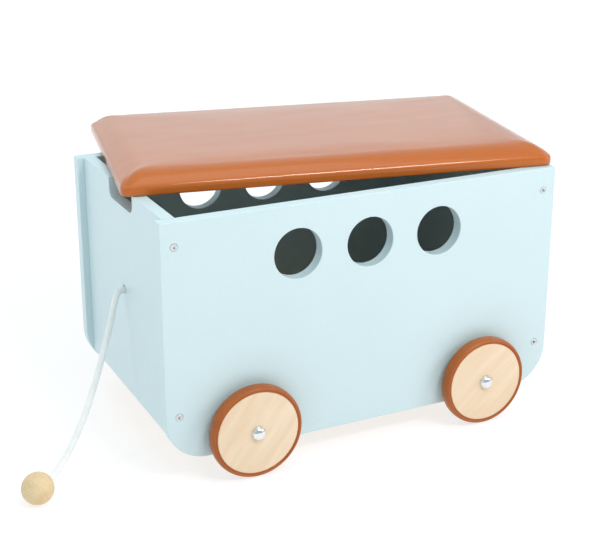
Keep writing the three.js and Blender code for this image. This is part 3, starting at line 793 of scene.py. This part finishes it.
# Down the board's edge, round its lower arris and in under the board as the hem.
ROWS = [(3.1, None, 0.72), (1.75, None, 0.38), (0.75, 12.3, 0), (0.18, 10.6, 0), (0.0, 8.6, 0), (0.0, 6.2, 0), (0.0, 3.6, 0), (0.12, 1.9, 0), (0.55, 0.8, 0), (1.4, 0.2, 0), (3.2, 0.02, 0),
        (9.0, 0.0, 0), (18.0, 0.0, 0), (27.2, 0.0, 0)]
m = len(rim_loop)
verts = [tuple(p) for p in verts]
previous = [int(i) for i in rim_loop]
pinned_from = len(verts)
for inset, height, part in ROWS:
    ring = []
    for k in range(m):
        q = wall[k] - out2[k] * inset
        z = height if height is not None else 12.3 + (edge_points[k, 2] - 12.3) * part
        if inset > 6:  # gathers folded under the corners
            rounding = abs(out2[k, 0] * out2[k, 1]) * 2
            z += 0.35 * rounding * (0.5 + 0.5 * math.cos(along[k] * 2 * math.pi / 5.2))
        ring.append(len(verts))
        verts.append((q[0], q[1], z))
    for k in range(m):
        j = (k + 1) % m
        faces.append((previous[k], previous[j], ring[j], ring[k]))
    previous = ring
verts = np.array(verts, float)

cover = piece("leather_cover", lid_place(verts), faces, None, "lid_leather", angle=180)
if len(cover.data.vertices) != len(verts):
    raise RuntimeError("the lid cover's points were merged")
rest = verts.copy()
free = np.zeros(len(verts))
free[: nu * nv] = np.clip((np.minimum(du, dv).ravel() - INSET) / 5.0, 0, 1)


def simulate(o, keep, frames=20):
    """Blender's cloth: air pressure lifts the cover off the foam where it isn't held."""
    group = o.vertex_groups.new(name="held")
    for i, w in enumerate(keep):
        group.add([i], float(w), "REPLACE")
    mod = o.modifiers.new("cloth", "CLOTH")
    c = mod.settings
    c.quality = 6
    c.mass = 0.25
    c.tension_stiffness = c.compression_stiffness = 18
    c.shear_stiffness = 8
    c.bending_stiffness = 1.6
    c.use_pressure = True
    c.uniform_pressure_force = 4.0
    c.vertex_group_mass = "held"
    c.effector_weights.gravity = 0
    mod.collision_settings.use_self_collision = False
    mod.collision_settings.use_collision = False
    mod.point_cache.frame_start, mod.point_cache.frame_end = 1, frames
    scene.frame_start, scene.frame_end = 1, frames
    for k in range(1, frames + 1):
        scene.frame_set(k)
    dg = bpy.context.evaluated_depsgraph_get()
    got = o.evaluated_get(dg)
    co = np.zeros(len(got.data.vertices) * 3)
    got.data.vertices.foreach_get("co", co)
    o.modifiers.clear()
    o.vertex_groups.clear()
    scene.frame_set(1)
    return co.reshape(-1, 3)


co = simulate(cover, 1 - free)
co = co * 1000 + (OX, OY, 0)
moved = lid_unplace(co)
# The foam is firm, so the cover keeps close to it: only part of the lift stays.
swell = (moved - rest) * 0.22
size = np.linalg.norm(swell, axis=1)
cap = 1.1
swell *= (cap * np.tanh(size / cap) / np.maximum(size, 1e-9))[:, None]
final = rest + swell
print("LID_SWELL", round(float(size.max()), 2), round(float(size.mean()), 2))
# Bring the crown to its height, keeping the form that the cloth took.
top = final[: nu * nv, 2]
body_height = top.max()
print("LID_TOP", round(float(body_height), 2))
stretch = (PEAK - EDGE) / (body_height - EDGE)
final[: nu * nv, 2] = EDGE + (top - EDGE) * np.where(top > EDGE, stretch, 1)
# Slight unevenness of the foam, tension lines from the corners and the pull of the hem along the edges.
for i in range(nu * nv):
    x, y, _ = final[i]
    ex, ey = LID_L / 2 - abs(x), LID_W / 2 - abs(y)
    inner = 1 - math.exp(-min(ex, ey) / 14)
    wave = 0.42 * noise.noise(Vector((x * 0.011, y * 0.013, 3.1))) + 0.16 * noise.noise(Vector((x * 0.035, y * 0.04, 8.7)))
    d = math.hypot(ex, ey)
    fan = math.atan2(ey + 4, ex + 4)
    crease = 0.30 * math.exp(-((d - 20) / 16) ** 2) * math.cos(fan * 15 + (1.3 if x > 0 else 0.2) + (0.7 if y > 0 else 0))
    s = x if ey < ex else y
    pull = 0.14 * math.exp(-min(ex, ey) / 7) * math.cos(s * 2 * math.pi / 34)
    final[i, 2] += wave * inner + crease * (1 - math.exp(-min(ex, ey) / 5)) - pull
cover.data.vertices.foreach_set("co", row(lid_place(final)).ravel())
cover.data.update()
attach(cover, "lid")
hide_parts("lid_cover", "lid_foam_pad")
skin = cover.modifiers.new("skin", "SOLIDIFY")
skin.thickness, skin.offset = 0.0011, -1
sub = cover.modifiers.new("smooth", "SUBSURF")
sub.levels = sub.render_levels = 1

# ---- CAD nodes ------------------------------------------------------------------------

for mat in frame["record"]["subparts"]:
    node = frame["nodes"].get(mat["node"])
    if node is None:
        continue
    slot = mat["material_slot"]
    m = MAT[slot]
    if slot == "wheel_wood":
        m = WHEEL_WOOD[mat["node"].replace("wheel_disc_", "")]
    node.data.materials.clear()
    node.data.materials.append(m)

for name in ("floor_board", "lid_board", "lid_lining"):
    bevel = frame["nodes"][name].modifiers.new("eased", "BEVEL")
    bevel.width = 0.0004 if name != "lid_lining" else 0.0002
    bevel.segments = 2
    bevel.limit_method = "ANGLE"
    bevel.angle_limit = math.radians(40)

# ---- floor and light --------------------------------------------------------------------

s = Shader("studio_floor", Specular_IOR_Level=0.15)
floor_colour = s.ramp(s.noise(3.0, 3, 0.5), [(0.3, (0.345, 0.325, 0.325, 1)), (0.7, (0.355, 0.335, 0.335, 1))])
# Painted light: the floor glows, a little more further from the middle, which pales the shadows on it and lights the
# box from below.
far = s.node("ShaderNodeVectorMath", {0: s.coord}, operation="LENGTH").outputs["Value"]
glow = s.grey(s.math("DIVIDE", far, 6.0), [(0.10, 0.70), (0.5, 0.86)])
s.bsdf.inputs["Emission Color"].default_value = (1, 1, 1, 1)
s.out(Base_Color=floor_colour, Roughness=s.grey(s.noise(8.0, 2, 0.5), [(0.3, 0.75), (0.7, 0.85)]), Emission_Strength=glow)
me = bpy.data.meshes.new("studio_floor")
me.from_pydata([(-40, -40, 0), (40, -40, 0), (40, 40, 0), (-40, 40, 0)], [], [(0, 1, 2, 3)])
me.materials.append(s.m)
floor = bpy.data.objects.new("studio_floor", me)
scene.collection.objects.link(floor)

world = bpy.data.worlds.new("studio")
scene.world = world
world.use_nodes = True
# A white studio that is brighter behind the box than in front of it.
wt = world.node_tree
sky = wt.nodes["Background"]
sky.inputs[0].default_value = (0.83, 1.0, 1.06, 1)
place = wt.nodes.new("ShaderNodeTexCoord")
split = wt.nodes.new("ShaderNodeSeparateXYZ")
wt.links.new(place.outputs["Generated"], split.inputs[0])
fade = wt.nodes.new("ShaderNodeMapRange")
fade.inputs["From Min"].default_value, fade.inputs["From Max"].default_value = -0.9, 0.9
fade.inputs["To Min"].default_value, fade.inputs["To Max"].default_value = 0.56, 0.98
wt.links.new(split.outputs["Y"], fade.inputs["Value"])
wt.links.new(fade.outputs["Result"], sky.inputs[1])


def softbox(name, azimuth, elevation, distance, size, power, aim=(0.0, 0.0, 0.15), colour=(1, 1, 1)):
    """An area light aimed at the box. Azimuth 0 is straight in front and 90 to the right."""
    a, e = math.radians(azimuth), math.radians(elevation)
    light = bpy.data.lights.new(name, "AREA")
    light.shape = "RECTANGLE"
    light.size, light.size_y = size
    light.energy = power
    light.color = colour
    o = bpy.data.objects.new(name, light)
    scene.collection.objects.link(o)
    direction = Vector((math.sin(a) * math.cos(e), -math.cos(a) * math.cos(e), math.sin(e)))
    o.location = Vector(aim) + direction * distance
    o.rotation_mode = "QUATERNION"
    o.rotation_quaternion = direction.to_track_quat("Z", "Y")
    o.visible_camera = False
    return o


softbox("front_right", 48, 24, 2.6, (0.9, 0.9), 12.5, colour=(1.0, 0.91, 0.86))
softbox("strip", 10, 46, 2.6, (0.9, 0.30), 21, colour=(1.0, 0.93, 0.89))
softbox("left", -88, 41, 1.5, (0.16, 0.16), 1.7, colour=(1.0, 0.95, 0.91))
softbox("top", 10, 80, 2.6, (1.8, 1.8), 10)
softbox("back", 176, 19, 4.0, (5.0, 1.3), 4.0, colour=(1.0, 0.94, 0.88))
